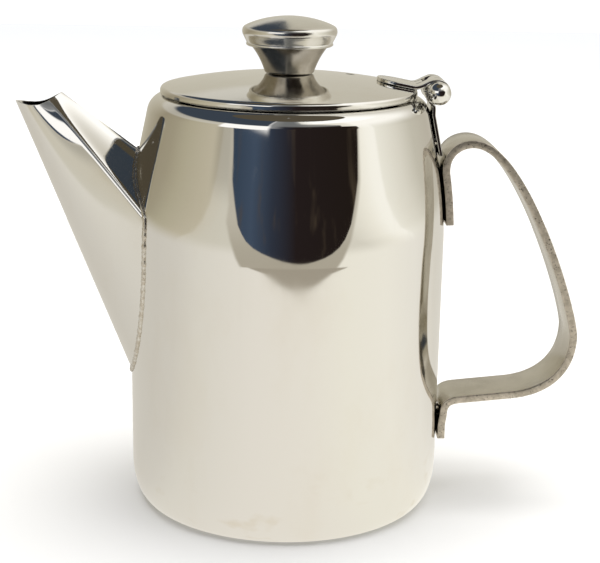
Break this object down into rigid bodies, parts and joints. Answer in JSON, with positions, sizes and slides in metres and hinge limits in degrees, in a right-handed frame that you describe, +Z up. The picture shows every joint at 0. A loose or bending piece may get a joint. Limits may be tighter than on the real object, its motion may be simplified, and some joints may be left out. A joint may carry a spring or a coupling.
{
  "type": "teapot",
  "caption": "Round stainless steel teapot with a hinged domed lid, mushroom knob, cone spout and flat bar handle.",
  "frame": {"origin": "on the axis of the round body, at the level of its flat base", "axes": "+Z up along the body's axis, spout towards -X, handle and hinge towards +X, hinge pin along +Y"},
  "size_m": [0.1863, 0.104, 0.1611],
  "materials": {
    "mirror_steel": "mirror polished stainless steel, light wear",
    "lid_steel": "mirror polished stainless steel dome",
    "knob_steel": "polished stainless steel with brushed neck",
    "satin_steel": "satin rolled stainless bar with rough sheared edges",
    "hinge_steel": "polished stainless steel",
    "weld_metal": "polished weld bead with small pits",
    "zinc_hardware": "plain stainless fasteners"
  },
  "bodies": {
    "pot": {"body_shell": "mirror_steel", "spout": "mirror_steel", "spout_weld": "weld_metal", "handle": "satin_steel", "handle_welds": "weld_metal", "hinge_bracket": "hinge_steel", "bracket_welds": "weld_metal", "hinge_pin": "hinge_steel", "pin_balls": "hinge_steel"},
    "lid": {"lid_shell": "lid_steel", "lid_leaf": "hinge_steel", "leaf_welds": "weld_metal", "knob_neck": "knob_steel", "knob_cap": "knob_steel", "knob_nut": "zinc_hardware", "knob_screw": "zinc_hardware", "knob_washer": "zinc_hardware"}
  },
  "joints": [
    {"name": "lid_hinge", "type": "hinge", "parent": "pot", "child": "lid", "pos_m": [0.0477, 0, 0.138], "axis": [0, 1, 0], "range_deg": [0, 110]}
  ]
}
